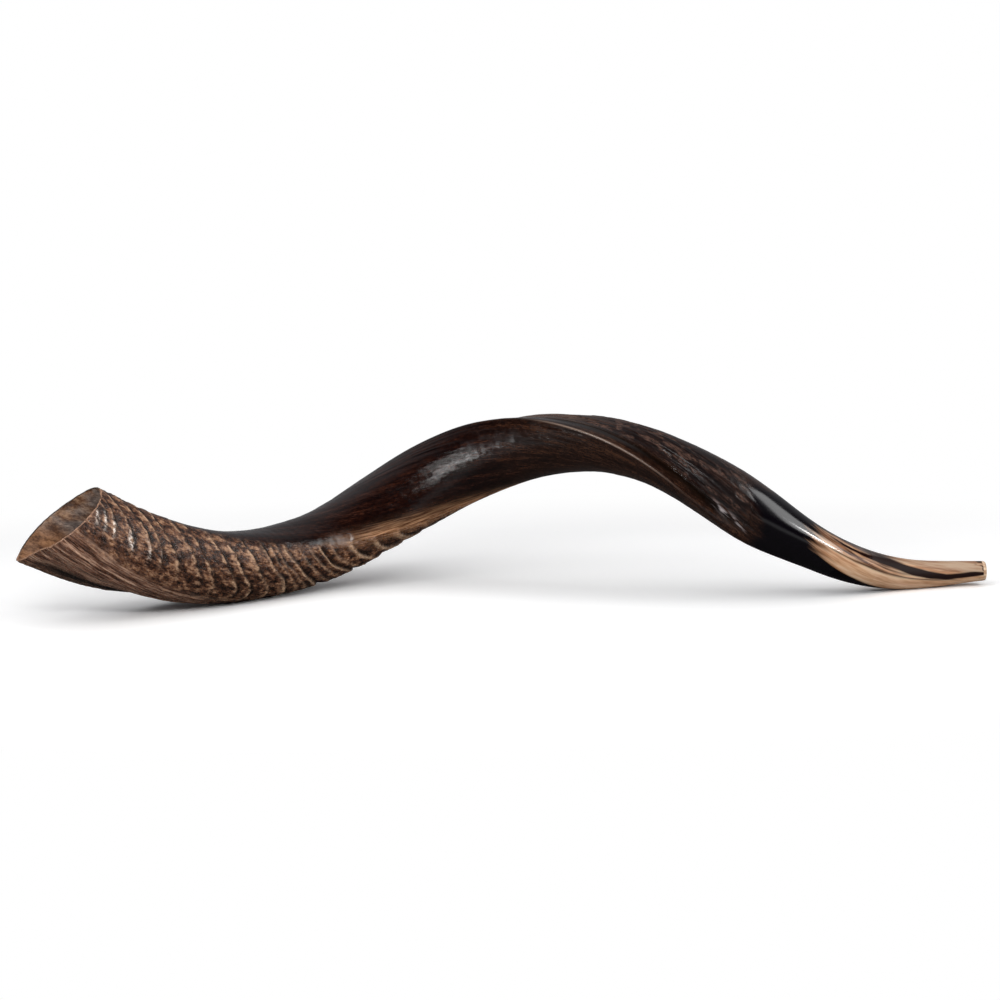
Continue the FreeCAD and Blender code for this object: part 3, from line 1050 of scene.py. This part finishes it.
CAMERA_TARGET = Vector((-0.0111, -0.0141, 0.0596))   # lands a little left of and below the middle
CAMERA_AZIMUTH = math.radians(-6.09)
CAMERA_ELEVATION = math.radians(10.0)
CAMERA_DISTANCE = 2.8
CAMERA_RAISE = 0.0323       # how far the camera aims above the target and to its left
CAMERA_LEFT = 0.0027
LENS = 112.0
SENSOR = 36.0
LAMP_TARGET = Vector((0.0, 0.0, 0.05))
LAMP_DISTANCE = 2.5
FLOOR_SHADE = 1.12          # brighter than any paint, so that the floor reads as white
FLOOR_REACH = (1.1, 0.55, 1.0)   # half size of the patch of floor that shows shadows
FLOOR_HALF = 40.0
WHITE = (1.0, 1.0, 1.0, 1.0)


def facing(azimuth, elevation):
    """Direction from the horn towards a camera or a lamp. Azimuth 0 is in front, 90 at the cup."""
    flat = math.cos(elevation)
    return Vector((math.sin(azimuth) * flat, -math.cos(azimuth) * flat, math.sin(elevation)))


def add_camera():
    back = facing(CAMERA_AZIMUTH, CAMERA_ELEVATION)
    right = Vector((math.cos(CAMERA_AZIMUTH), math.sin(CAMERA_AZIMUTH), 0.0))
    aim = CAMERA_TARGET + back.cross(right) * CAMERA_RAISE - right * CAMERA_LEFT
    data = bpy.data.cameras.new("camera")
    data.lens = LENS
    data.sensor_width = SENSOR
    camera = in_scene("camera", data)
    camera.location = aim + back * CAMERA_DISTANCE
    camera.rotation_mode = "QUATERNION"
    camera.rotation_quaternion = back.to_track_quat("Z", "Y")
    bpy.context.scene.camera = camera


def add_softbox(name, azimuth, elevation, spread, brightness, roll=0.0, mirrored=True,
                target=LAMP_TARGET, distance=LAMP_DISTANCE):
    """Area light that looks at its target, as wide and high as the angles of its spread."""
    width, height = (2.0 * distance * math.tan(math.radians(angle / 2.0)) for angle in spread)
    data = bpy.data.lights.new(name, "AREA")
    data.shape = "RECTANGLE"
    data.size = width
    data.size_y = height
    data.energy = brightness * math.pi * width * height
    lamp = in_scene(name, data)
    lamp.visible_glossy = mirrored
    towards = facing(math.radians(azimuth), math.radians(elevation))
    lamp.location = target + towards * distance
    lamp.rotation_mode = "QUATERNION"
    turn = Quaternion((0.0, 0.0, 1.0), math.radians(roll))
    lamp.rotation_quaternion = towards.to_track_quat("Z", "Y") @ turn


def add_world():
    """Dim room with a paler side behind the horn. Seen directly, it is plain white."""
    world = bpy.data.worlds.new("studio")
    world.use_nodes = True
    nodes = Nodes(world.node_tree)
    direction = nodes.add("ShaderNodeTexCoord").outputs["Generated"]
    split = nodes.add("ShaderNodeSeparateXYZ", Vector=direction)
    behind = nodes.between(split.outputs["Y"], -0.15, 0.55)
    colour = nodes.mix(behind, (0.006, 0.006, 0.008), (0.24, 0.24, 0.25))
    seen = nodes.add("ShaderNodeLightPath").outputs["Is Camera Ray"]
    colour = nodes.mix(seen, colour, (1.0, 1.0, 1.0))
    light = nodes.add("ShaderNodeBackground", Color=colour)
    nodes.add("ShaderNodeOutputWorld", Surface=light.outputs["Background"])
    bpy.context.scene.world = world


def diffuse(nodes, shade):
    return nodes.add("ShaderNodeBsdfDiffuse", Color=(shade, shade, shade, 1.0)).outputs["BSDF"]


def glow(nodes, strength):
    return nodes.add("ShaderNodeEmission", Color=WHITE, Strength=strength).outputs["Emission"]


def floor_material():
    """Pale floor: it takes soft shadows near the horn and turns plain white further out.

    Mirrored in the horn it is a dim floor with a glow further out, and it bounces a middle grey.
    """
    material, nodes = new_material("floor")
    place = nodes.add("ShaderNodeNewGeometry").outputs["Position"]
    distance = nodes.vector("LENGTH", nodes.vector("DIVIDE", place, FLOOR_REACH))
    away = nodes.between(distance, 0.55, 1.0)
    ray = nodes.add("ShaderNodeLightPath")
    seen = nodes.either(away, diffuse(nodes, FLOOR_SHADE), glow(nodes, 1.0))
    mirrored = nodes.either(away, diffuse(nodes, 0.06), glow(nodes, 0.45))
    rest = nodes.either(ray.outputs["Is Diffuse Ray"], mirrored, diffuse(nodes, 0.50))
    shader = nodes.either(ray.outputs["Is Camera Ray"], rest, seen)
    nodes.add("ShaderNodeOutputMaterial", Surface=shader)
    return material


def add_floor():
    mesh = bpy.data.meshes.new("floor")
    signs = ((-1, -1), (1, -1), (1, 1), (-1, 1))
    mesh.from_pydata([(x * FLOOR_HALF, y * FLOOR_HALF, 0.0) for x, y in signs], [], [(0, 1, 2, 3)])
    mesh.materials.append(floor_material())
    floor = in_scene("floor", mesh)


# ---------- scene

BUILDERS = {"bell_mouth": bell_bands, "mouthpiece_tip": tip_bands}
SKIN = horn_material("horn_skin", HORN_IOR)
TIP_SKIN = horn_material("horn_tip", TIP_IOR)
OTHERS = [cut_material(), wall_material(), cup_material(), lip_material()]
for node, (first, last, slot, wall_step) in ZONES.items():
    build = BUILDERS.get(node, middle_bands)
    outside = TIP_SKIN if node == "mouthpiece_tip" else SKIN
    piece = closed_piece(node + "_skin", build(first, last, wall_step), [outside, *OTHERS])
    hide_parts(node)
    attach(piece, "root")

add_camera()
add_world()
add_floor()
add_softbox("right_strip", 69.0, 30.0, (20.0, 42.0), 3.6, roll=-30.0)
add_softbox("right_lamp", 62.5, 18.0, (4.0, 6.5), 26.0)
add_softbox("left_softbox", -30.0, 19.5, (26.0, 4.0), 24.0,
            target=Vector((-0.045, 0.060, 0.115)), distance=0.8)
add_softbox("left_strip", -50.0, 40.0, (6.0, 16.0), 7.0)
add_softbox("overhead", 0.0, 70.0, (110.0, 100.0), 0.75, mirrored=False)
add_softbox("front_overhead", -30.0, 45.0, (50.0, 50.0), 0.8, mirrored=False)
bpy.context.scene.view_settings.view_transform = "Standard"
